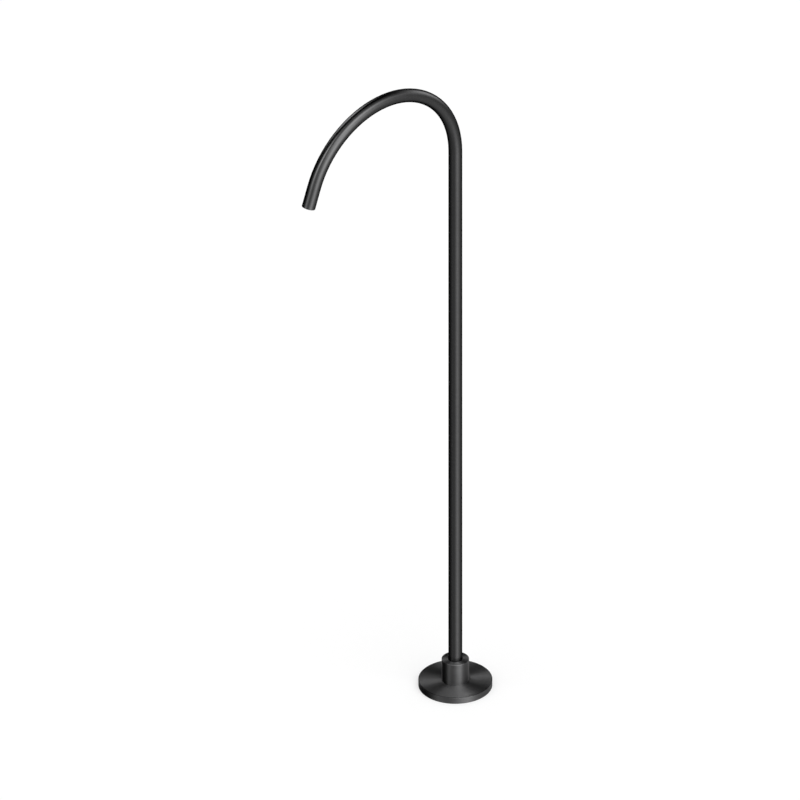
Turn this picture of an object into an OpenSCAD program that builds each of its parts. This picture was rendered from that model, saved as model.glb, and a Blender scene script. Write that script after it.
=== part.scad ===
// Floor-standing basin spout: a gooseneck tube that turns in a swivel pillar,
// on a mounting plate under a round cover flange.
// Millimetres, +Z up. The origin is the centre of the base on the floor, and the outlet points to -Y.

/* [Spout tube] */
// Outside diameter of the tube
tube_od = 22; // [20:0.5:26]
// Wall of the tube
tube_wall = 1.5; // [1:0.25:2]
// Height above the floor at which the riser runs into the bend
spring_h = 988; // [700:1:1200]
// Radius of the bend at the middle of the tube
bend_r = 153; // [80:1:200]
// Angle that the bend turns through
bend_angle = 160; // [120:1:180]

/* [Cover flange] */
// Diameter of the cover flange
flange_d = 117; // [112:1:140]
// Height of the cover flange
flange_h = 11; // [10:0.5:14]
// Thickness of the top of the cover flange
flange_top = 2; // [1.5:0.25:2.5]
// Thickness of the rim of the cover flange
flange_rim = 4; // [3.5:0.25:6]
// Bevel on the top edge of the cover flange
flange_bevel = 0.6; // [0.3:0.1:1.2]
// Width of the seal in the rim's underside
rim_seal_w = 2; // [1.5:0.25:2.5]
// Height of the seal in the rim's underside
rim_seal_h = 2.4; // [1.5:0.1:3]
// Cord of the O-ring between the cover flange and the pillar
flange_cord = 1.5; // [1.2:0.1:1.6]

/* [Collar] */
// Diameter of the collar
collar_d = 43.5; // [42:0.5:50]
// Height of the collar
collar_h = 37.5; // [34:0.5:50]
// Wall of the collar
collar_wall = 2; // [1.5:0.25:2.5]
// Thickness of the top of the collar
collar_top = 3; // [2.5:0.25:4]
// Bevel on the edges of the collar
collar_bevel = 0.4; // [0.2:0.1:0.8]
// Height of the wiper ring in the collar's top
wiper_h = 1.4; // [1:0.1:1.6]
// Radial width of the wiper ring
wiper_w = 2; // [1.5:0.25:3]
// Diameter of the collar's grub screw
grub_d = 4; // [3:0.5:5]
// Length of the collar's grub screw
grub_l = 4; // [3:0.5:5]
// Height of the grub screw above the collar's foot
grub_rise = 8; // [4:0.5:12]

/* [Mounting plate] */
// Thickness of the foot gasket
gasket_t = 1; // [0.5:0.25:1.5]
// Thickness of the mounting plate
plate_t = 4; // [3.25:0.25:4.5]
// Number of floor-anchor holes
anchor_count = 4; // [3:1:6]
// Diameter of the floor-anchor holes
anchor_d = 7; // [5:0.5:9]
// Distance from the middle of an anchor hole to the edge of the plate
anchor_edge = 11; // [7:0.5:12]
// Bevel on the plate's edges and round its holes
plate_bevel = 0.4; // [0.2:0.1:0.6]

/* [Plate screws] */
// Number of plate screws
screw_count = 4; // [3:1:6]
// Diameter of the plate screws
screw_d = 5; // [4:0.5:6]
// Diameter of the plate screws' countersunk heads
screw_head_d = 9.2; // [8:0.2:11]
// Distance from the pillar's side to the middle of a plate screw
screw_out = 4.2; // [3.5:0.1:6]

/* [Swivel pillar] */
// Bore of the inlet thread, at its crests
inlet_d = 18.6; // [14:0.1:21]
// Length of the inlet thread
inlet_l = 14; // [10:0.5:15]
// Wall of the inlet boss
inlet_wall = 3.7; // [2.5:0.1:5]
// Thickness of the web between the inlet and the swivel bore
web_t = 3; // [2:0.25:4]
// Distance from a plate screw to the edge of the pillar's foot
foot_edge = 6.5; // [4.5:0.25:8]
// Diameter of the lock screw
lock_d = 5; // [4:0.5:6]
// Diameter of the lock screw's dog
lock_dog_d = 3.4; // [2.5:0.1:3.8]

/* [Swivel spigot] */
// Bore of the spigot and of the web below it
water_d = 12.5; // [9:0.5:14]
// Length of the spigot's neck inside the tube
neck_l = 14; // [8:0.5:30]
// Depth of the spigot's O-ring and lock grooves
groove_depth = 2; // [1.7:0.1:2.2]
// Cord of the spigot's O-rings
spigot_cord = 2.4; // [2.1:0.1:2.6]
// Height of the slip rings
slip_h = 3; // [2:0.25:3.5]
// Radial thickness of the slip rings
slip_t = 1.2; // [0.8:0.1:1.6]
// Thickness of the thrust washer
thrust_t = 1; // [0.5:0.25:1.5]

/* [Outlet nozzle] */
// Length of the straight nozzle after the bend
nozzle_l = 35; // [20:1:60]
// Bevel round the rim of the nozzle
rim_bevel = 0.4; // [0.2:0.1:0.6]
// Length of the nozzle's neck inside the end of the tube
nozzle_neck_l = 4; // [2:0.5:6]
// Bore of the aerator's thread, at its crests
aerator_d = 18.4; // [17.6:0.1:18.8]
// Depth of the threaded bore behind the rim
aerator_depth = 15.8; // [15:0.1:17]
// Inward reach of the shoulder at the end of the thread
shoulder_w = 1.6; // [1.2:0.1:2]

/* [Aerator] */
// Depth of the aerator's housing behind the rim of the nozzle
housing_sink = 1.6; // [1.2:0.1:2]
// Thickness of the aerator's washer
washer_t = 1.4; // [0.8:0.1:1.8]
// Wall of the aerator's housing
housing_wall = 0.9; // [0.6:0.1:1.1]
// Lip at the mouth of the aerator's housing
lip_w = 0.7; // [0.4:0.1:1]
// Thickness of that lip
lip_t = 1; // [0.6:0.1:1.5]
// Number of key notches in the mouth of the housing
notch_count = 4; // [3:1:6]
// Width of a key notch
notch_w = 1.6; // [1:0.1:2.4]
// Thickness of the honeycomb
comb_t = 3; // [2:0.25:3.5]
// Width of a honeycomb cell across its flats
cell_w = 1.45; // [1.2:0.05:2]
// Wall between honeycomb cells
cell_wall = 0.35; // [0.25:0.05:0.5]
// Thickness of the jet plate
jet_t = 1.6; // [1:0.1:2]
// Number of jets round the jet plate
jet_count = 18; // [8:1:24]
// Diameter of a jet
jet_d = 0.9; // [0.6:0.1:1.1]
// Thickness of the flow regulator
regulator_t = 3; // [2.4:0.1:3.4]
// Number of ribs under the regulator's O-ring
rib_count = 8; // [6:1:12]
// Cord of the regulator's O-ring
regulator_cord = 1.2; // [1:0.1:1.4]
// Height of the screen's dome
dome_h = 3.2; // [1.5:0.1:4]
// Wall of the screen's dome
dome_wall = 0.4; // [0.3:0.05:0.6]

/* [Clearances] */
// Radial running clearance between the spigot and the pillar
swivel_gap = 0.05; // [0.02:0.01:0.08]
// Radial clearance of brazed, screwed and seated pieces
seat_gap = 0.05; // [0.02:0.01:0.1]
// Radial clearance of the collar and the cover flange round the pillar
slide_gap = 0.2; // [0.1:0.05:0.3]
// Radial clearance of the collar's top round the tube
tube_gap = 0.25; // [0.15:0.05:0.5]
// Axial clearance under the cover flange and under the collar's top
lid_gap = 0.3; // [0.2:0.05:0.5]
// Gap between the mounting plate and the rim of the cover flange
plate_gap = 2.5; // [1:0.25:4]
// Clearance of a screw in its plain hole, on the diameter
screw_gap = 0.5; // [0.2:0.1:1]

/* [Hidden] */
$fn = 96;
// Overrun of a cut past the face that it leaves
cut = 1;
// Bevel on edges that only need the burr taken off
small_bevel = 0.3;
// Lead-in bevel at the mouth of a bore or thread
lead_in = 1;
// Film between an O-ring and the metal that it seals on
film = 0.01;
// Share of its cord that a squeezed O-ring keeps between its two walls
squeeze = 0.85;
// Turn of the anchor holes from the plate screws
anchor_turn = 45;

// Colours
gunmetal = [0.20, 0.20, 0.21];
brass = [0.72, 0.58, 0.30];
steel = [0.62, 0.63, 0.65];
black_steel = [0.12, 0.12, 0.13];
rubber = [0.08, 0.08, 0.08];
polymer = [0.90, 0.89, 0.85];
aerator_grey = [0.55, 0.57, 0.60];

// Tube
tube_r = tube_od / 2;
bore_r = tube_r - tube_wall;

// Heights of the base, from the floor up
plate_z = gasket_t;
foot_z = plate_z + plate_t;
foot_top_z = flange_h - flange_top - lid_gap;
foot_t = foot_top_z - foot_z;
collar_z = flange_h;
collar_top_z = collar_z + collar_h;
pillar_top_z = collar_top_z - collar_top - lid_gap;
inlet_z = plate_z;
web_z = inlet_z + inlet_l;
swivel_z = web_z + web_t;
flange_ring_z = flange_h - flange_top / 2;
wiper_z = collar_top_z - (collar_top + wiper_h) / 2;
grub_z = collar_z + grub_rise;

// Radii of the base
plate_r = flange_d / 2 - flange_rim - plate_gap;
anchor_r = plate_r - anchor_edge;
collar_bore_r = collar_d / 2 - collar_wall;
pillar_r = collar_bore_r - slide_gap;
boss_r = inlet_d / 2 + inlet_wall;
screw_r = pillar_r + screw_out;
foot_r = screw_r + foot_edge;
swivel_r = tube_r + swivel_gap;
water_r = water_d / 2;
flange_ring_r = pillar_r + slide_gap - squeeze * flange_cord;
// Room round the inlet boss for the nut of the supply hose
hose_gap = 2;
// Fillet inside the cover flange
cave_fillet = 1;
// The grub screw lies this far inside the collar's face
grub_sink = 0.2;
grub_tip_y = collar_d / 2 - grub_sink - grub_l;

// Hexagon sockets: bevel, width and depth in the plate screws, and share of a set screw's length
socket_bevel = 0.3;
screw_socket = 3;
screw_socket_l = 1.6;
set_socket_share = 0.45;
// Bevel at the tip of the grub screw
grub_point = 0.8;
// Distance between the end of the dog and the floor of its groove
dog_gap = 0.3;
// The lock screw lies this far inside the pillar's face, and its thread ends this far from the bore
lock_sink = 0.5;
lock_stop = 0.4;

// Swivel spigot: two slip rings, two O-rings and the lock groove share the land between them evenly
// Depth to which the tube enters the pillar
tube_entry = 1.6;
// Side clearance of an O-ring and of the dog in their grooves
o_side_gap = 0.15;
dog_side_gap = 0.3;
// Radial clearance of the slip rings in the pillar, and the slant and width of the split in them
slip_run = 0.02;
slip_lean = 30;
slip_split = 0.8;
// Step back of the thrust washer's bore from the water way
thrust_step = 0.3;
spigot_z = swivel_z + thrust_t + seat_gap;
spigot_top_z = pillar_top_z - tube_entry;
o_groove_w = spigot_cord + 2 * o_side_gap;
lock_groove_w = lock_dog_d + 2 * dog_side_gap;
grooves_w = 2 * slip_h + 2 * o_groove_w + lock_groove_w;
land_w = (spigot_top_z - spigot_z - grooves_w) / 6;
lower_slip_z = spigot_z + land_w;
lower_o_z = lower_slip_z + slip_h + land_w;
upper_o_z = lower_o_z + o_groove_w + land_w;
lock_groove_z = upper_o_z + o_groove_w + land_w;
upper_slip_z = lock_groove_z + lock_groove_w + land_w;
groove_r = tube_r - groove_depth;
slip_floor_r = tube_r - slip_t;
lock_z = lock_groove_z + lock_groove_w / 2;

// Nozzle and aerator, measured from the rim of the nozzle back up its axis
// Radial clearance of the nozzle's straight neck in the curved end of the tube
nozzle_gap = 0.15;
nozzle_neck_r = bore_r - nozzle_gap;
thread_r = aerator_d / 2;
shoulder_r = thread_r - shoulder_w;
washer_u = aerator_depth - washer_t;
// Gap between the honeycomb and the jet plate, where the air comes in
air_gap = 0.6;
housing_r = thread_r - seat_gap;
housing_bore_r = housing_r - housing_wall;
mouth_r = housing_bore_r - lip_w;
insert_r = housing_bore_r - seat_gap;
comb_u = housing_sink + lip_t;
jet_u = comb_u + comb_t + air_gap;
regulator_u = jet_u + jet_t + seat_gap;
dome_u = regulator_u + regulator_t + seat_gap;
// Plain rim round the honeycomb
comb_rim = 0.6;
// Distance from the ring of jets to the edge of its plate, and depth of the dish above them
jet_edge = 1.7;
dish_depth = 0.6;
jet_r = insert_r - jet_edge;
// Regulator: floor, ribs, wall, and the channel that holds its O-ring
regulator_floor = 1.2;
rib_w = 0.8;
rib_h = 0.4;
regulator_wall = 0.9;
channel_w = 2.6;
regulator_hole_d = 1.3;
channel_r = insert_r - regulator_wall - channel_w / 2;
// Screen: skirt, foot of the dome, gap between the dome and the shoulder, and mesh
skirt_wall = 0.7;
dome_foot_t = 0.8;
dome_gap = 0.3;
dome_base_r = shoulder_r - dome_gap;
mesh_pitch = 1.4;
mesh_hole_d = 0.8;

// Section of a groove round a shaft, as a step in the shaft's profile
function groove(z_mid, w, floor_r, outer_r) = [
    [outer_r, z_mid - w / 2], [floor_r, z_mid - w / 2],
    [floor_r, z_mid + w / 2], [outer_r, z_mid + w / 2]
];

// Ring of rectangular section, standing on z = 0
module ring(r_out, r_in, h) {
    difference() {
        cylinder(r = r_out, h = h);
        translate([0, 0, -cut]) cylinder(r = r_in, h = h + 2 * cut);
    }
}

// Section of an O-ring squeezed between two radii, centred on z = 0
module squeezed_cord(cord, r_in, r_out) {
    translate([(r_in + r_out) / 2, 0]) intersection() {
        circle(d = cord, $fn = 48);
        square([r_out - r_in, cord], center = true);
    }
}

// Copies its children evenly round the Z axis
module round_axis(count, first = 0) {
    for (i = [0 : count - 1]) {
        rotate([0, 0, first + i * 360 / count]) children();
    }
}

// Puts what is drawn round the Z axis in the bend, with the riser's end on +X
module in_bend() {
    translate([0, -bend_r, spring_h]) rotate([90, 0, 90]) children();
}

// Puts what is drawn along +Z on the axis of the nozzle, from its rim inward
module at_tip() {
    in_bend() rotate([0, 0, bend_angle]) translate([bend_r, nozzle_l, 0]) rotate([90, 0, 0]) {
        children();
    }
}

// Hexagon socket, cut downward from z = 0
module hex_socket(across_flats, depth) {
    translate([0, 0, -depth]) cylinder(d = across_flats / cos(30), h = depth + cut, $fn = 6);
}

// Set screw lying along +Y with its socket outward, from y_in to y_out
module set_screw(d, y_in, y_out, tip_bevel) {
    length = y_out - y_in;
    translate([0, y_in, 0]) rotate([-90, 0, 0]) difference() {
        rotate_extrude() polygon([
            [0, 0], [d / 2 - tip_bevel, 0], [d / 2, tip_bevel],
            [d / 2, length - socket_bevel], [d / 2 - socket_bevel, length], [0, length]
        ]);
        translate([0, 0, length]) hex_socket(d / 2, length * set_socket_share);
    }
}

module foot_gasket() {
    color(rubber) difference() {
        cylinder(r = plate_r, h = gasket_t);
        translate([0, 0, -cut]) cylinder(r = boss_r + hose_gap, h = gasket_t + 2 * cut);
        round_axis(anchor_count, anchor_turn) translate([anchor_r, 0, -cut]) {
            cylinder(d = anchor_d + screw_gap, h = gasket_t + 2 * cut);
        }
    }
}

module mounting_plate() {
    hole_r = boss_r + seat_gap;
    color(steel) difference() {
        rotate_extrude() polygon([
            [hole_r, plate_z], [plate_r - plate_bevel, plate_z], [plate_r, plate_z + plate_bevel],
            [plate_r, foot_z - plate_bevel], [plate_r - plate_bevel, foot_z],
            [hole_r + plate_bevel, foot_z], [hole_r, foot_z - plate_bevel]
        ]);
        round_axis(anchor_count, anchor_turn) translate([anchor_r, 0, plate_z - cut]) {
            cylinder(d = anchor_d, h = plate_t + 2 * cut);
        }
        round_axis(screw_count) translate([screw_r, 0, plate_z]) {
            countersunk(screw_head_d, screw_d + screw_gap, plate_t + cut);
        }
    }
}

// Countersunk shape that opens downward at z = 0
module countersunk(head_d, hole_d, h) {
    translate([0, 0, -cut]) cylinder(d = head_d, h = cut);
    cylinder(d1 = head_d, d2 = hole_d, h = (head_d - hole_d) / 2);
    cylinder(d = hole_d, h = h);
}

module plate_screws() {
    head_d = screw_head_d - 2 * seat_gap;
    color(black_steel) round_axis(screw_count) translate([screw_r, 0, plate_z + seat_gap]) {
        difference() {
            union() {
                cylinder(d1 = head_d, d2 = screw_d, h = (head_d - screw_d) / 2);
                cylinder(d = screw_d, h = plate_t + foot_t - 2 * seat_gap);
            }
            mirror([0, 0, 1]) hex_socket(screw_socket, screw_socket_l);
        }
    }
}

module swivel_pillar() {
    inlet_r = inlet_d / 2;
    color(brass) difference() {
        rotate_extrude() polygon(concat(
            [
                [inlet_r + lead_in, inlet_z], [boss_r - small_bevel, inlet_z],
                [boss_r, inlet_z + small_bevel], [boss_r, foot_z],
                [foot_r, foot_z], [foot_r, foot_top_z - small_bevel],
                [foot_r - small_bevel, foot_top_z], [pillar_r, foot_top_z]
            ],
            groove(flange_ring_z, flange_cord + 2 * o_side_gap, flange_ring_r, pillar_r),
            [
                [pillar_r, pillar_top_z - small_bevel], [pillar_r - small_bevel, pillar_top_z],
                [swivel_r + lead_in, pillar_top_z], [swivel_r, pillar_top_z - lead_in],
                [swivel_r, swivel_z], [water_r, swivel_z], [water_r, web_z],
                [inlet_r, web_z], [inlet_r, inlet_z + lead_in]
            ]
        ));
        round_axis(screw_count) translate([screw_r, 0, foot_z - cut]) {
            cylinder(r = screw_d / 2 + seat_gap, h = foot_t + 2 * cut);
        }
        translate([0, grub_tip_y - seat_gap, grub_z]) rotate([-90, 0, 0]) {
            cylinder(d = grub_d + screw_gap, h = pillar_r);
        }
        translate([0, 0, lock_z]) rotate([-90, 0, 0]) {
            cylinder(r = lock_d / 2 + seat_gap, h = pillar_r + cut);
        }
    }
}

module floor_flange() {
    out_r = flange_d / 2;
    cave_r = out_r - flange_rim;
    cave_z = flange_h - flange_top;
    hole_r = pillar_r + slide_gap;
    seal_r = out_r - flange_rim / 2;
    color(gunmetal) rotate_extrude() difference() {
        polygon([
            [cave_r, 0], [out_r - small_bevel, 0], [out_r, small_bevel],
            [out_r, flange_h - flange_bevel], [out_r - flange_bevel, flange_h],
            [hole_r, flange_h], [hole_r, cave_z],
            [cave_r - cave_fillet, cave_z], [cave_r, cave_z - cave_fillet]
        ]);
        translate([seal_r - rim_seal_w / 2 - seat_gap, -cut]) {
            square([rim_seal_w + 2 * seat_gap, rim_seal_h + seat_gap + cut]);
        }
    }
}

module flange_o_ring() {
    color(rubber) translate([0, 0, flange_ring_z]) rotate_extrude() {
        squeezed_cord(flange_cord, flange_ring_r + film, pillar_r + slide_gap - film);
    }
}

module rim_seal() {
    seal_r = flange_d / 2 - flange_rim / 2;
    color(rubber) ring(seal_r + rim_seal_w / 2, seal_r - rim_seal_w / 2, rim_seal_h);
}

module base_collar() {
    out_r = collar_d / 2;
    color(gunmetal) difference() {
        rotate_extrude() difference() {
            polygon([
                [collar_bore_r + lead_in / 2, collar_z], [out_r - small_bevel, collar_z],
                [out_r, collar_z + small_bevel], [out_r, collar_top_z - collar_bevel],
                [out_r - collar_bevel, collar_top_z], [tube_r + tube_gap + small_bevel, collar_top_z],
                [tube_r + tube_gap, collar_top_z - small_bevel],
                [tube_r + tube_gap, collar_top_z - collar_top],
                [collar_bore_r, collar_top_z - collar_top], [collar_bore_r, collar_z + lead_in / 2]
            ]);
            translate([tube_r, wiper_z - seat_gap]) {
                square([swivel_gap + wiper_w + seat_gap, wiper_h + 2 * seat_gap]);
            }
        }
        translate([0, 0, grub_z]) rotate([-90, 0, 0]) {
            cylinder(r = grub_d / 2 + seat_gap, h = collar_d);
        }
    }
}

module collar_grub_screw() {
    color(black_steel) translate([0, 0, grub_z]) {
        set_screw(grub_d, grub_tip_y, grub_tip_y + grub_l, grub_point);
    }
}

// The lip of the wiper leans on the tube, and its back sits in the collar's groove
module collar_wiper_ring() {
    lip_r = tube_r + swivel_gap;
    taper_r = lip_r + wiper_w / 4;
    back_r = lip_r + wiper_w;
    color(rubber) translate([0, 0, wiper_z]) rotate_extrude() polygon([
        [lip_r, wiper_h / 3], [taper_r, 0], [back_r, 0],
        [back_r, wiper_h], [taper_r, wiper_h], [lip_r, wiper_h * 2 / 3]
    ]);
}

module spigot_lock_screw() {
    body_in = swivel_r + lock_stop;
    color(black_steel) translate([0, 0, lock_z]) {
        set_screw(lock_d, body_in, pillar_r - lock_sink, small_bevel);
        translate([0, groove_r + dog_gap, 0]) rotate([-90, 0, 0]) {
            cylinder(d = lock_dog_d, h = body_in - groove_r - dog_gap + small_bevel);
        }
    }
}

module thrust_washer() {
    color(polymer) translate([0, 0, swivel_z]) {
        ring(swivel_r - seat_gap, water_r + thrust_step, thrust_t);
    }
}

// Wall of the tube in section
module tube_section() {
    difference() {
        circle(r = tube_r);
        circle(r = bore_r);
    }
}

// Riser and bend of one tube
module spout_tube() {
    color(gunmetal) {
        translate([0, 0, spring_h]) mirror([0, 0, 1]) {
            linear_extrude(spring_h - spigot_top_z) tube_section();
        }
        in_bend() rotate_extrude(angle = bend_angle, $fn = 180) {
            translate([bend_r, 0]) tube_section();
        }
    }
}

module swivel_spigot() {
    neck_r = bore_r - seat_gap;
    neck_top_z = spigot_top_z + neck_l;
    color(brass) rotate_extrude() polygon(concat(
        [
            [water_r, spigot_z], [tube_r - small_bevel, spigot_z],
            [tube_r, spigot_z + small_bevel]
        ],
        groove(lower_slip_z + slip_h / 2, slip_h, slip_floor_r, tube_r),
        groove(lower_o_z + o_groove_w / 2, o_groove_w, groove_r, tube_r),
        groove(upper_o_z + o_groove_w / 2, o_groove_w, groove_r, tube_r),
        groove(lock_z, lock_groove_w, groove_r, tube_r),
        groove(upper_slip_z + slip_h / 2, slip_h, slip_floor_r, tube_r),
        [
            [tube_r, spigot_top_z], [neck_r, spigot_top_z], [neck_r, neck_top_z - small_bevel],
            [neck_r - small_bevel, neck_top_z], [water_r, neck_top_z]
        ]
    ));
}

// Split ring that guides the spigot in the bore of the pillar
module slip_ring(z) {
    slip_r = swivel_r - slip_run;
    color(polymer) translate([0, 0, z + seat_gap]) difference() {
        ring(slip_r, slip_floor_r + seat_gap, slip_h - 2 * seat_gap);
        translate([0, 0, slip_h / 2]) rotate([slip_lean, 0, 0]) {
            translate([0, -slip_split / 2, -slip_h]) cube([slip_r + cut, slip_split, 2 * slip_h]);
        }
    }
}

module lower_slip_ring() { slip_ring(lower_slip_z); }

module upper_slip_ring() { slip_ring(upper_slip_z); }

module spigot_o_ring(z) {
    color(rubber) translate([0, 0, z + o_groove_w / 2]) rotate_extrude() {
        squeezed_cord(spigot_cord, groove_r + film, swivel_r - film);
    }
}

module lower_o_ring() { spigot_o_ring(lower_o_z); }

module upper_o_ring() { spigot_o_ring(upper_o_z); }

// Straight end of the spout, brazed to the bend with its neck inside the tube
module outlet_nozzle() {
    neck_u = nozzle_l + nozzle_neck_l;
    color(gunmetal) at_tip() rotate_extrude() polygon([
        [thread_r + small_bevel, 0], [tube_r - rim_bevel, 0], [tube_r, rim_bevel],
        [tube_r, nozzle_l], [nozzle_neck_r, nozzle_l], [nozzle_neck_r, neck_u],
        [shoulder_r, neck_u], [shoulder_r, aerator_depth], [thread_r, aerator_depth],
        [thread_r, small_bevel]
    ]);
}

// The notches take the key, and run back as channels that feed air to the jets
module aerator_housing() {
    color(aerator_grey) at_tip() difference() {
        rotate_extrude() polygon([
            [mouth_r, housing_sink], [housing_r - small_bevel, housing_sink],
            [housing_r, housing_sink + small_bevel], [housing_r, washer_u],
            [housing_bore_r, washer_u], [housing_bore_r, comb_u], [mouth_r, comb_u]
        ]);
        round_axis(notch_count) {
            notch(mouth_r - cut, housing_sink - cut, housing_sink + lip_t / 2);
            notch(housing_r - housing_wall / 2, housing_sink - cut, jet_u);
            notch(mouth_r - cut, jet_u - air_gap, jet_u);
        }
    }
}

module notch(r_in, u_low, u_high) {
    translate([r_in, -notch_w / 2, u_low]) cube([housing_r - r_in + cut, notch_w, u_high - u_low]);
}

module flow_straightener() {
    color(aerator_grey) at_tip() translate([0, 0, comb_u]) difference() {
        cylinder(r = insert_r, h = comb_t);
        hex_grid(cell_w + cell_wall, insert_r - comb_rim - cell_w / 2) {
            translate([0, 0, -cut]) cylinder(d = cell_w / cos(30), h = comb_t + 2 * cut, $fn = 6);
        }
    }
}

// Copies its children over a honeycomb of points that reaches out to radius reach
module hex_grid(pitch, reach) {
    rows = ceil(reach / pitch) + 1;
    for (i = [-rows : rows], j = [-rows : rows]) {
        x = i * pitch * cos(30);
        y = (j + (abs(i) % 2) / 2) * pitch;
        if (norm([x, y]) < reach) translate([x, y, 0]) children();
    }
}

module jet_plate() {
    color(aerator_grey) at_tip() translate([0, 0, jet_u]) difference() {
        cylinder(r = insert_r, h = jet_t);
        translate([0, 0, jet_t - dish_depth]) cylinder(r = jet_r + jet_d, h = dish_depth + cut);
        round_axis(jet_count) translate([jet_r, 0, -cut]) cylinder(d = jet_d, h = jet_t + 2 * cut);
    }
}

module flow_regulator() {
    channel_in_r = channel_r - channel_w / 2;
    color(polymer) at_tip() translate([0, 0, regulator_u]) {
        difference() {
            cylinder(r = insert_r, h = regulator_t);
            translate([0, 0, regulator_floor]) {
                ring(channel_in_r + channel_w, channel_in_r, regulator_t);
            }
            round_axis(rib_count, 180 / rib_count) translate([channel_r, 0, -cut]) {
                cylinder(d = regulator_hole_d, h = regulator_t);
            }
        }
        round_axis(rib_count) translate([channel_in_r - film, -rib_w / 2, regulator_floor - film]) {
            cube([channel_w + 2 * film, rib_w, rib_h + film]);
        }
    }
}

module regulator_o_ring() {
    ring_u = regulator_u + regulator_floor + rib_h + regulator_cord / 2 + film;
    color(rubber) at_tip() translate([0, 0, ring_u]) rotate_extrude() {
        translate([channel_r, 0]) circle(d = regulator_cord, $fn = 48);
    }
}

module aerator_screen() {
    dome_r = (dome_base_r * dome_base_r + dome_h * dome_h) / (2 * dome_h);
    color(polymer) at_tip() difference() {
        rotate_extrude() {
            translate([insert_r - skirt_wall, dome_u]) square([skirt_wall, washer_u - dome_u]);
            translate([dome_base_r - dome_wall, washer_u - dome_foot_t]) {
                square([insert_r - dome_base_r + dome_wall, dome_foot_t]);
            }
            translate([0, washer_u + dome_h - dome_r]) intersection() {
                difference() {
                    circle(r = dome_r);
                    circle(r = dome_r - dome_wall);
                }
                translate([0, dome_r - dome_h - dome_wall]) square([dome_base_r, dome_r]);
            }
        }
        hex_grid(mesh_pitch, dome_base_r - mesh_pitch / 2) {
            translate([0, 0, dome_u]) cylinder(d = mesh_hole_d, h = nozzle_l);
        }
    }
}

module aerator_washer() {
    color(rubber) at_tip() translate([0, 0, washer_u]) {
        ring(thread_r - seat_gap, shoulder_r, washer_t);
    }
}

foot_gasket();
mounting_plate();
plate_screws();
swivel_pillar();
floor_flange();
flange_o_ring();
rim_seal();
base_collar();
collar_grub_screw();
collar_wiper_ring();
spigot_lock_screw();
thrust_washer();
spout_tube();
swivel_spigot();
lower_slip_ring();
upper_slip_ring();
lower_o_ring();
upper_o_ring();
outlet_nozzle();
aerator_housing();
flow_straightener();
jet_plate();
flow_regulator();
regulator_o_ring();
aerator_screen();
aerator_washer();
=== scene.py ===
import math

import bmesh
import bpy
from mathutils import Matrix, Vector

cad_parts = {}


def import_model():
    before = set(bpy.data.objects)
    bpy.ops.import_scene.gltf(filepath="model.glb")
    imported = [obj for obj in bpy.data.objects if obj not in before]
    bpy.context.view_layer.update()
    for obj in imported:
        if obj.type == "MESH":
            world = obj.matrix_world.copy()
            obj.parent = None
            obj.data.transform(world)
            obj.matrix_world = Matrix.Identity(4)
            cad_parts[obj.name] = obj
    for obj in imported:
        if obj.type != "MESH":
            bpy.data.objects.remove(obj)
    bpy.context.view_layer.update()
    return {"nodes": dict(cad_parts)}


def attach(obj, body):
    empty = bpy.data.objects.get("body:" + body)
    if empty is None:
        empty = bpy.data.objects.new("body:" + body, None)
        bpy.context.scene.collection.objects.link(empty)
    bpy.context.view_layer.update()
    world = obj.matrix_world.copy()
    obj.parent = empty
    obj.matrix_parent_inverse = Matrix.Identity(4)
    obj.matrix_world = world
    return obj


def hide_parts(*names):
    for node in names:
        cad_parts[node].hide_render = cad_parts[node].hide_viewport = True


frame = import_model()

# Sizes of the CAD model, in metres and radians
BEND_R = 0.153
SPRING_Z = 0.988
BEND_ANGLE = math.radians(160)

# Camera of the photograph, a parallel view. Its centre lies AIM_RIGHT and AIM_UP from the foot
AZIMUTH = math.radians(48.72)
ELEVATION = math.radians(31.47)
VIEW_WIDTH = 1.2634
AIM_RIGHT = -0.08738
AIM_UP = 0.44946
CAMERA_DISTANCE = 6.0
CLIP_START = 0.1
CLIP_END = 50.0


def studio(turn, height):
    """Direction turn degrees to the right of the camera, seen from the object, and height degrees up."""
    a = AZIMUTH + math.radians(turn)
    e = math.radians(height)
    return Vector((math.sin(a) * math.cos(e), -math.cos(a) * math.cos(e), math.sin(e)))


def add_object(name, data):
    """Object of this data, in the scene."""
    obj = bpy.data.objects.new(name, data)
    bpy.context.scene.collection.objects.link(obj)
    return obj


# Inputs A and B and the result of a mix node, for each kind of value
MIX_SOCKETS = {"FLOAT": (2, 3, 0), "VECTOR": (4, 5, 1)}


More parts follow.
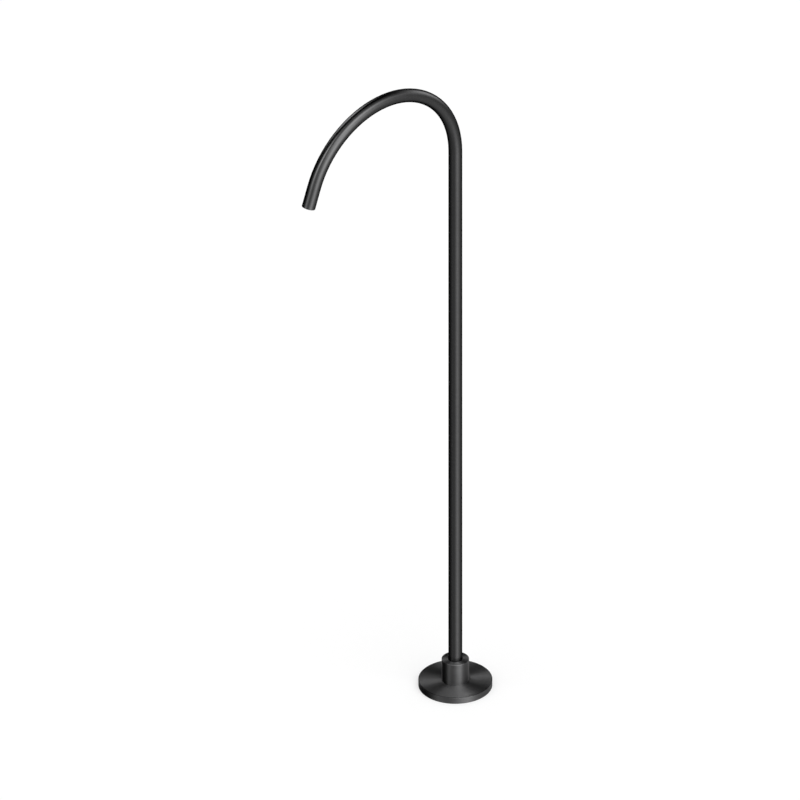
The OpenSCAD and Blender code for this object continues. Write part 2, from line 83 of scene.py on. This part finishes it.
class Nodes:
    """Adds nodes to a tree. An input is a socket, a number or a tuple."""

    def __init__(self, tree):
        self.tree = tree
        tree.nodes.clear()

    def put(self, socket, value):
        if isinstance(value, bpy.types.NodeSocket):
            self.tree.links.new(value, socket)
        else:
            socket.default_value = value

    def add(self, kind, inputs=(), **settings):
        node = self.tree.nodes.new(kind)
        for key, value in settings.items():
            setattr(node, key, value)
        for key, value in dict(inputs).items():
            self.put(node.inputs[key], value)
        return node

    def math(self, operation, *values):
        return self.add("ShaderNodeMath", enumerate(values), operation=operation).outputs[0]

    def vector(self, operation, *values):
        node = self.add("ShaderNodeVectorMath", enumerate(values), operation=operation)
        return node.outputs["Value" if operation in ("DOT_PRODUCT", "LENGTH") else "Vector"]

    def scaled(self, vector, factor):
        inputs = {0: vector, "Scale": factor}
        return self.add("ShaderNodeVectorMath", inputs, operation="SCALE").outputs["Vector"]

    def combine(self, x, y, z):
        return self.add("ShaderNodeCombineXYZ", {"X": x, "Y": y, "Z": z}).outputs[0]

    def split(self, vector):
        return self.add("ShaderNodeSeparateXYZ", {"Vector": vector}).outputs

    def noise(self, vector, detail):
        inputs = {"Vector": vector, "Scale": 1.0, "Detail": detail}
        return self.add("ShaderNodeTexNoise", inputs).outputs["Fac"]

    def span(self, value, low, high, to_low=0.0, to_high=1.0, soft=False):
        """Value moved from the range low to high to the range to_low to to_high, and held inside it."""
        node = self.add(
            "ShaderNodeMapRange",
            {"Value": value, "From Min": low, "From Max": high, "To Min": to_low, "To Max": to_high},
            interpolation_type="SMOOTHSTEP" if soft else "LINEAR",
        )
        return node.outputs["Result"]

    def pick(self, factor, a, b, kind="FLOAT"):
        """a where factor is 0 and b where it is 1."""
        first, second, result = MIX_SOCKETS[kind]
        node = self.add("ShaderNodeMix", {0: factor, first: a, second: b}, data_type=kind)
        return node.outputs[result]

    def shade(self, color, shades, factor):
        """Colour times a number that runs over shades as factor runs from 0 to 1."""
        return self.scaled(color, self.span(factor, 0.0, 1.0, *shades))

    def bumped(self, height, depth):
        """Normal of a relief that is depth metres high."""
        inputs = {"Height": height, "Distance": depth, "Strength": 1.0}
        return self.add("ShaderNodeBump", inputs).outputs[0]


materials = {}


def material(name, build, **constants):
    """Adds a principled material. build(n) gives its linked inputs, and constants go on its sockets."""
    mat = bpy.data.materials.new(name)
    mat.use_nodes = True
    n = Nodes(mat.node_tree)
    shader = n.add("ShaderNodeBsdfPrincipled")
    for key, value in constants.items():
        shader.inputs[key.replace("_", " ")].default_value = value
    for key, value in build(n).items():
        n.put(shader.inputs[key], value)
    n.add("ShaderNodeOutputMaterial", {"Surface": shader.outputs[0]})
    materials[name] = mat


# Two layers of brush marks: cells to the metre across them, cells along them and detail, and their shares
FINE_MARKS = (5200.0, 3.0, 3.0)
WIDE_MARKS = (260.0, 1.2, 2.0)
FINE_SHARE = 0.45
WIDE_SHARE = 0.55

# Shades that the marks give the colour, the range that most marks have, and its factors of roughness
MARK_SHADES = (0.82, 1.18)
MARK_RANGE = (0.25, 0.75)
MARK_ROUGH = (0.88, 1.12)


def brushed(n, across, along, way, tone, rough, depth):
    """Brush marks, fine across them and long along them.

    across is the place across the marks in metres, along a direction that turns round the piece with them,
    and way the direction in which one crosses them, which the shader takes as its tangent.
    """

    def layer(cells_across, cells_along, detail):
        place = n.vector("ADD", n.scaled(across, cells_across), n.scaled(along, cells_along))
        return n.noise(place, detail)

    fine = layer(*FINE_MARKS)
    wide = layer(*WIDE_MARKS)
    marks = n.math("ADD", n.math("MULTIPLY", fine, FINE_SHARE), n.math("MULTIPLY", wide, WIDE_SHARE))
    tangent = n.add(
        "ShaderNodeVectorTransform",
        {"Vector": way},
        vector_type="VECTOR",
        convert_from="OBJECT",
        convert_to="WORLD",
    )
    return {
        "Base Color": n.shade(tone, MARK_SHADES, marks),
        "Roughness": n.math("MULTIPLY", n.span(marks, *MARK_RANGE, *MARK_ROUGH), rough),
        "Normal": n.bumped(fine, depth),
        "Tangent": tangent.outputs[0],
    }


# A rim of painted shade fades in over this length in metres, to this share of the colour
PAINTED_RIM_FADE = 0.0005
PAINTED_RIM_SHADE = 0.3


def spun(tone, face_rough, wall_rough, depth, painted_rim=None):
    """Marks that run round the Z axis, as on a turned piece. Faces and walls have their own roughness.

    The optional last argument is a dark rim of painted shade: the radius and the height that it starts
    from, and the height of its top.
    """

    def build(n):
        place = n.add("ShaderNodeTexCoord").outputs
        x, y, z = n.split(place["Object"])
        flat = n.combine(x, y, 0.0)
        radius = n.vector("LENGTH", flat)
        outward = n.vector("NORMALIZE", flat)
        around = n.vector("CROSS_PRODUCT", (0.0, 0.0, 1.0), outward)
        way = n.vector("CROSS_PRODUCT", around, place["Normal"])
        face = n.math("ABSOLUTE", n.split(place["Normal"])[2])
        rough = n.span(face, 0.0, 1.0, wall_rough, face_rough)
        shown = tone
        # Painted shade: a dark line painted along the flange's top edge, where the edge shows dark
        if painted_rim:
            painted_rim_r, low, high = painted_rim
            above = n.span(z, low, high, soft=True)
            below = n.math("LESS_THAN", z, high + PAINTED_RIM_FADE)
            outside = n.span(radius, painted_rim_r, painted_rim_r + PAINTED_RIM_FADE, soft=True)
            painted_shade = n.math("MULTIPLY", n.math("MULTIPLY", above, below), outside)
            shown = n.shade(tone, (1.0, PAINTED_RIM_SHADE), painted_shade)
        return brushed(n, n.combine(radius, z, 0.0), outward, way, shown, rough, depth)

    return build


# Angles round the bend's centre start again at half a turn, so those below this are a turn too low
PAST_HALF_TURN = -0.5


def along_tube(n, place):
    """Length along the spout and the direction in which it runs, at a point of riser, bend or nozzle."""
    x, y, z = n.split(place)
    rise = n.math("SUBTRACT", z, SPRING_Z)
    turn = n.math("ARCTAN2", rise, n.math("ADD", y, BEND_R))
    low = n.math("LESS_THAN", z, SPRING_Z)
    near = n.math("GREATER_THAN", y, -BEND_R)
    riser = n.math("MULTIPLY", low, near)
    length = n.pick(riser, n.math("MULTIPLY", turn, BEND_R), rise)
    restarted = n.math("LESS_THAN", turn, PAST_HALF_TURN)
    whole_turn = n.math("ADD", turn, n.math("MULTIPLY", restarted, 2 * math.pi))
    bent = n.math("MINIMUM", whole_turn, BEND_ANGLE)
    outward = n.math("MULTIPLY", n.math("SINE", bent), -1.0)
    run = n.combine(0.0, outward, n.math("COSINE", bent))
    run = n.pick(riser, run, (0.0, 0.0, 1.0), "VECTOR")
    return length, run


def tube_marks(tone, rough, depth):
    """Marks that run round the tube, all along the spout."""

    def build(n):
        place = n.add("ShaderNodeTexCoord").outputs
        length, run = along_tube(n, place["Object"])
        return brushed(n, n.combine(length, 0.0, 0.0), place["Normal"], run, tone, rough, depth)

    return build


# Colours, tints of the shine at grazing angles, the flange's rim of painted shade, and depths of marks in
# metres
GUNMETAL = (0.10, 0.10, 0.101)
BRASS = (0.60, 0.42, 0.17)
DARK_EDGE = (0.0, 0.0, 0.0, 1.0)
GREY_EDGE = (0.4, 0.4, 0.4, 1.0)
FLANGE_PAINTED_RIM = (0.0570, 0.0102, 0.0108)
GUNMETAL_DEPTH = 0.000004
BRASS_DEPTH = 0.000006

material(
    "gunmetal_tube",
    tube_marks(GUNMETAL, rough=0.22, depth=GUNMETAL_DEPTH),
    Metallic=1.0,
    Anisotropic=0.8,
    Specular_Tint=DARK_EDGE,
)
# The spun gunmetal carries the painted shade along the flange's top edge
material(
    "gunmetal_spun",
    spun(GUNMETAL, face_rough=0.42, wall_rough=0.34, depth=GUNMETAL_DEPTH, painted_rim=FLANGE_PAINTED_RIM),
    Metallic=1.0,
    Anisotropic=0.96,
    Specular_Tint=GREY_EDGE,
)
material(
    "turned_brass",
    spun(BRASS, face_rough=0.30, wall_rough=0.26, depth=BRASS_DEPTH),
    Metallic=1.0,
    Anisotropic=0.5,
)

# Grain: the range that most of it has, how far it moves the roughness, and the cells that a cloud covers
GRAIN_RANGE = (0.2, 0.8)
GRAIN_ROUGH = 0.06
CLOUD_CELLS = 12
GRAIN_DETAIL = 4.0
CLOUD_DETAIL = 2.0


def grained(tone, shades, rough, cells, depth):
    """Even grain over the whole piece, with clouds of shade, for rubber, plastic and rolled sheet."""

    def build(n):
        place = n.add("ShaderNodeTexCoord").outputs["Object"]
        grain = n.noise(n.scaled(place, cells), GRAIN_DETAIL)
        cloud = n.noise(n.scaled(place, cells / CLOUD_CELLS), CLOUD_DETAIL)
        return {
            "Base Color": n.shade(tone, shades, cloud),
            "Roughness": n.span(grain, *GRAIN_RANGE, rough - GRAIN_ROUGH, rough + GRAIN_ROUGH),
            "Normal": n.bumped(grain, depth),
        }

    return build


# Metallic, then colour, shades, roughness, cells to the metre and depth in metres
GRAINED = {
    "stainless_plate": (1.0, (0.56, 0.56, 0.57), (0.85, 1.1), 0.34, 2500.0, 0.000003),
    "black_screw": (0.9, (0.045, 0.045, 0.05), (0.8, 1.2), 0.42, 3000.0, 0.000004),
    "epdm_rubber": (0.0, (0.022, 0.022, 0.023), (0.75, 1.3), 0.72, 1800.0, 0.00001),
    "slip_polymer": (0.0, (0.76, 0.75, 0.71), (0.92, 1.04), 0.45, 1500.0, 0.000004),
    "aerator_polymer": (0.0, (0.30, 0.31, 0.33), (0.9, 1.1), 0.42, 1600.0, 0.000004),
}
for name, (metallic, *grain) in GRAINED.items():
    material(name, grained(*grain), Metallic=metallic)

# Finishes of the CAD nodes
FINISH_OF = {
    "gunmetal_tube": ["spout_tube", "outlet_nozzle"],
    "gunmetal_spun": ["floor_flange", "base_collar"],
    "turned_brass": ["swivel_pillar", "swivel_spigot"],
    "stainless_plate": ["mounting_plate"],
    "black_screw": ["plate_screws", "collar_grub_screw", "spigot_lock_screw"],
    "epdm_rubber": [
        "foot_gasket",
        "flange_o_ring",
        "rim_seal",
        "collar_wiper_ring",
        "lower_o_ring",
        "upper_o_ring",
        "regulator_o_ring",
        "aerator_washer",
    ],
    "slip_polymer": [
        "thrust_washer",
        "lower_slip_ring",
        "upper_slip_ring",
        "flow_regulator",
        "aerator_screen",
    ],
    "aerator_polymer": ["aerator_housing", "flow_straightener", "jet_plate"],
}
for finish, names in FINISH_OF.items():
    for name in names:
        for slot in frame["nodes"][name].material_slots:
            slot.material = materials[finish]

# Inlet thread of the pillar, with rounded crests and roots, from the bevel at its mouth to the web
CREST_R = 0.0093
THREAD_DEPTH = 0.00116
PITCH = 0.001814
THREAD_LOW = 0.002
THREAD_HIGH = 0.015
ROWS_PER_TURN = 8

# The thread takes a whole turn to fade out at the web, and is this many times quicker at the mouth
MOUTH_FADE = 1.6

# How near a point lies to the wall that it is on, and to a point that is the same, in metres
ON_SURFACE = 0.00002
SAME_POINT = 0.000002

# A face whose normal rises by less than this is part of a wall, and an edge over this angle is sharp
UPRIGHT = 0.5
SHARP_ANGLE = math.radians(35)


def thread_r(z, angle):
    """Radius of the thread, which fades out at its two ends."""
    turns = (z - THREAD_LOW) / PITCH - angle / (2 * math.pi)
    fade = min(1.0, MOUTH_FADE * (z - THREAD_LOW) / PITCH, (THREAD_HIGH - z) / PITCH)
    return CREST_R + THREAD_DEPTH * fade * (0.5 - 0.5 * math.cos(2 * math.pi * turns))


def threaded_pillar():
    """The pillar with a real thread in the wall of its inlet bore."""
    bm = bmesh.new()
    bm.from_mesh(frame["nodes"]["swivel_pillar"].data)
    bmesh.ops.remove_doubles(bm, verts=bm.verts, dist=SAME_POINT)
    bm.normal_update()

    def on_wall(v):
        inside = THREAD_LOW - ON_SURFACE < v.co.z < THREAD_HIGH + ON_SURFACE
        return inside and abs(v.co.xy.length - CREST_R) < ON_SURFACE

    mouth = [v for v in bm.verts if on_wall(v) and v.co.z < THREAD_LOW + ON_SURFACE]
    angles = sorted(math.atan2(v.co.y, v.co.x) for v in mouth)
    upright = [f for f in bm.faces if abs(f.normal.z) < UPRIGHT]
    wall = [f for f in upright if all(on_wall(v) for v in f.verts)]
    bmesh.ops.delete(bm, geom=wall, context="FACES")
    steps = round((THREAD_HIGH - THREAD_LOW) / PITCH * ROWS_PER_TURN)
    rows = []
    for k in range(steps + 1):
        z = THREAD_LOW + (THREAD_HIGH - THREAD_LOW) * k / steps
        radii = [(thread_r(z, a), a) for a in angles]
        rows.append([bm.verts.new((r * math.cos(a), r * math.sin(a), z)) for r, a in radii])
    for low, high in zip(rows, rows[1:]):
        for i in range(len(angles)):
            bm.faces.new((low[i], high[i], high[i - 1], low[i - 1]))
    bmesh.ops.remove_doubles(bm, verts=bm.verts, dist=ON_SURFACE)
    bmesh.ops.recalc_face_normals(bm, faces=bm.faces)
    mesh = bpy.data.meshes.new("threaded_pillar")
    bm.to_mesh(mesh)
    bm.free()
    mesh.shade_smooth()
    mesh.set_sharp_from_angle(angle=SHARP_ANGLE)
    mesh.materials.append(materials["turned_brass"])
    piece = add_object("threaded_pillar", mesh)
    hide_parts("swivel_pillar")
    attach(piece, "base")


threaded_pillar()

# Levels of the light: a white surface that faces up renders as white
WORLD_LEVEL = 0.60
SUN_LEVEL = 0.40

# Floor: its own colour, the level at which it shows away from any shadow, and its sizes in metres
FLOOR_WHITE = 0.50
FLOOR_SHOWN = 1.015
FLOOR_SIZE = 60.0
FLOOR_GAP = 0.0002


def is_seen(n):
    """1 for the camera's rays and for those off metal and through glass, and 0 for those that light."""
    path = n.add("ShaderNodeLightPath").outputs
    off_object = n.math("MAXIMUM", path["Is Glossy Ray"], path["Is Transmission Ray"])
    return n.math("MAXIMUM", path["Is Camera Ray"], off_object)


def floor():
    """White floor just under the object. From below it is clear, so that the underside shows."""
    mesh = bpy.data.meshes.new("floor")
    s = FLOOR_SIZE / 2
    mesh.from_pydata([(-s, -s, 0), (s, -s, 0), (s, s, 0), (-s, s, 0)], [], [(0, 1, 2, 3)])
    mat = bpy.data.materials.new("floor_white")
    mat.use_nodes = True
    n = Nodes(mat.node_tree)
    lift_level = FLOOR_SHOWN - FLOOR_WHITE * (WORLD_LEVEL + SUN_LEVEL)
    white = n.add("ShaderNodeBsdfDiffuse", {"Color": (FLOOR_WHITE, FLOOR_WHITE, FLOOR_WHITE, 1.0)})
    lift = n.add("ShaderNodeEmission", {"Strength": n.math("MULTIPLY", is_seen(n), lift_level)})
    lit = n.add("ShaderNodeAddShader", {0: white.outputs[0], 1: lift.outputs[0]})
    clear = n.add("ShaderNodeBsdfTransparent")
    below = n.add("ShaderNodeNewGeometry").outputs["Backfacing"]
    side = n.add("ShaderNodeMixShader", {0: below, 1: lit.outputs[0], 2: clear.outputs[0]})
    n.add("ShaderNodeOutputMaterial", {"Surface": side.outputs[0]})
    mesh.materials.append(mat)
    obj = add_object("floor", mesh)
    obj.location.z = -FLOOR_GAP
    obj.visible_glossy = False


floor()

# Soft boxes of the studio as the metal shows it: turn, height, width and tallness in degrees, and level
SOFT_BOXES = [
    (40, 50, 30, 15, 2.3),
    (-55, 35, 10, 20, 3.2),
    (140, 5, 20, 15, 6.0),
    (-145, 15, 10, 15, 5.0),
    (-50, 5, 25, 25, 1.0),
    (35, 10, 30, 40, 2.9),
    (120, -55, 35, 70, 0.5),
    (-150, 30, 10, 10, 3.3),
]


def soft_box(n, way, turn, height, width, tall, level):
    """Light of a soft box in direction way. It fades out over its width and tallness."""
    centre = studio(turn, height)
    side = studio(turn + 90, 0)
    off = []
    for axis, angle in ((side, width), (side.cross(centre), tall)):
        part = n.vector("DOT_PRODUCT", way, tuple(axis))
        ratio = n.math("DIVIDE", part, math.sin(math.radians(angle)))
        off.append(n.math("MULTIPLY", ratio, ratio))
    glow = n.math("EXPONENT", n.math("MULTIPLY", n.math("ADD", *off), -1.0))
    front = n.math("GREATER_THAN", n.vector("DOT_PRODUCT", way, tuple(centre)), 0.0)
    return n.math("MULTIPLY", glow, n.math("MULTIPLY", front, level))


def world():
    """White to the camera, plain light on all else, and soft boxes in a black studio in the metal."""
    w = bpy.data.worlds.new("studio")
    bpy.context.scene.world = w
    w.use_nodes = True
    n = Nodes(w.node_tree)
    way = n.vector("NORMALIZE", n.add("ShaderNodeTexCoord").outputs["Generated"])
    level = 0.0
    for box in SOFT_BOXES:
        level = n.math("ADD", level, soft_box(n, way, *box))
    seen = n.pick(n.add("ShaderNodeLightPath").outputs["Is Camera Ray"], level, 1.0)
    strength = n.pick(is_seen(n), WORLD_LEVEL, seen)
    inputs = {"Color": (1.0, 1.0, 1.0, 1.0), "Strength": strength}
    background = n.add("ShaderNodeBackground", inputs)
    n.add("ShaderNodeOutputWorld", {"Surface": background.outputs[0]})


world()


def add_lamp(name, kind, turn, height):
    """Lamp that shines on the object from turn and height. Gives the lamp and its object."""
    lamp = bpy.data.lights.new(name, kind)
    obj = add_object(name, lamp)
    obj.rotation_mode = "QUATERNION"
    obj.rotation_quaternion = (-studio(turn, height)).to_track_quat("-Z", "Y")
    return lamp, obj


def soft_sun(name, turn, height, share, angle):
    """Even soft light that gives a floor its share of SUN_LEVEL. The metal shows soft boxes instead."""
    lamp, obj = add_lamp(name, "SUN", turn, height)
    lamp.energy = share * SUN_LEVEL * math.pi / math.sin(math.radians(height))
    lamp.angle = math.radians(angle)
    obj.visible_glossy = False


soft_sun("key", turn=40, height=50, share=0.7, angle=50)
soft_sun("fill", turn=-50, height=45, share=0.3, angle=60)

# A base lamp is discs on each other, so that it fades out as a soft box does: reach and share of each
SOFT_RINGS = [(0.4, 0.23), (0.8, 0.33), (1.2, 0.23), (1.6, 0.14)]

# How far off a base lamp is in metres, and the sine of the widest half angle of its discs
LAMP_AWAY = 3.0
WIDEST_SINE = 0.95

lit_base = bpy.data.collections.new("lit_base")
for name in FINISH_OF["gunmetal_spun"]:
    lit_base.objects.link(frame["nodes"][name])


def base_lamp(name, turn, height, width, tall, level):
    """Soft lamp that only the flange and the collar show, given as a soft box is."""
    for reach, share in SOFT_RINGS:
        sines = [min(WIDEST_SINE, reach * math.sin(math.radians(a))) for a in (width, tall)]
        wide, high = [LAMP_AWAY * math.tan(math.asin(a)) for a in sines]
        lamp, obj = add_lamp(name, "AREA", turn, height)
        lamp.shape = "ELLIPSE"
        lamp.size = 2 * wide
        lamp.size_y = 2 * high
        lamp.energy = share * level * math.pi ** 2 * wide * high
        obj.location = studio(turn, height) * LAMP_AWAY
        obj.visible_camera = False
        obj.visible_diffuse = False
        obj.light_linking.receiver_collection = lit_base


# Base lamps: turn, height, width and tallness in degrees, and level
BASE_LAMPS = {
    "base_top": (0, 55, 25, 25, 3.0),
    "base_front": (40, 65, 15, 45, 5.0),
    "base_right": (105, 0, 25, 15, 2.0),
    "base_high": (30, 35, 40, 15, 5.0),
}
for name, terms in BASE_LAMPS.items():
    base_lamp(name, *terms)


def camera():
    """Parallel camera that looks at the object as the photograph does."""
    right = Vector((math.cos(AZIMUTH), math.sin(AZIMUTH), 0))
    back = studio(0, math.degrees(ELEVATION))
    up = back.cross(right)
    lens = bpy.data.cameras.new("camera")
    lens.type = "ORTHO"
    lens.ortho_scale = VIEW_WIDTH
    lens.clip_start = CLIP_START
    lens.clip_end = CLIP_END
    obj = add_object("camera", lens)
    place = Matrix.Translation(right * AIM_RIGHT + up * AIM_UP + back * CAMERA_DISTANCE)
    obj.matrix_world = place @ Matrix((right, up, back)).transposed().to_4x4()
    bpy.context.scene.camera = obj


camera()

bpy.context.scene.view_settings.view_transform = "Standard"
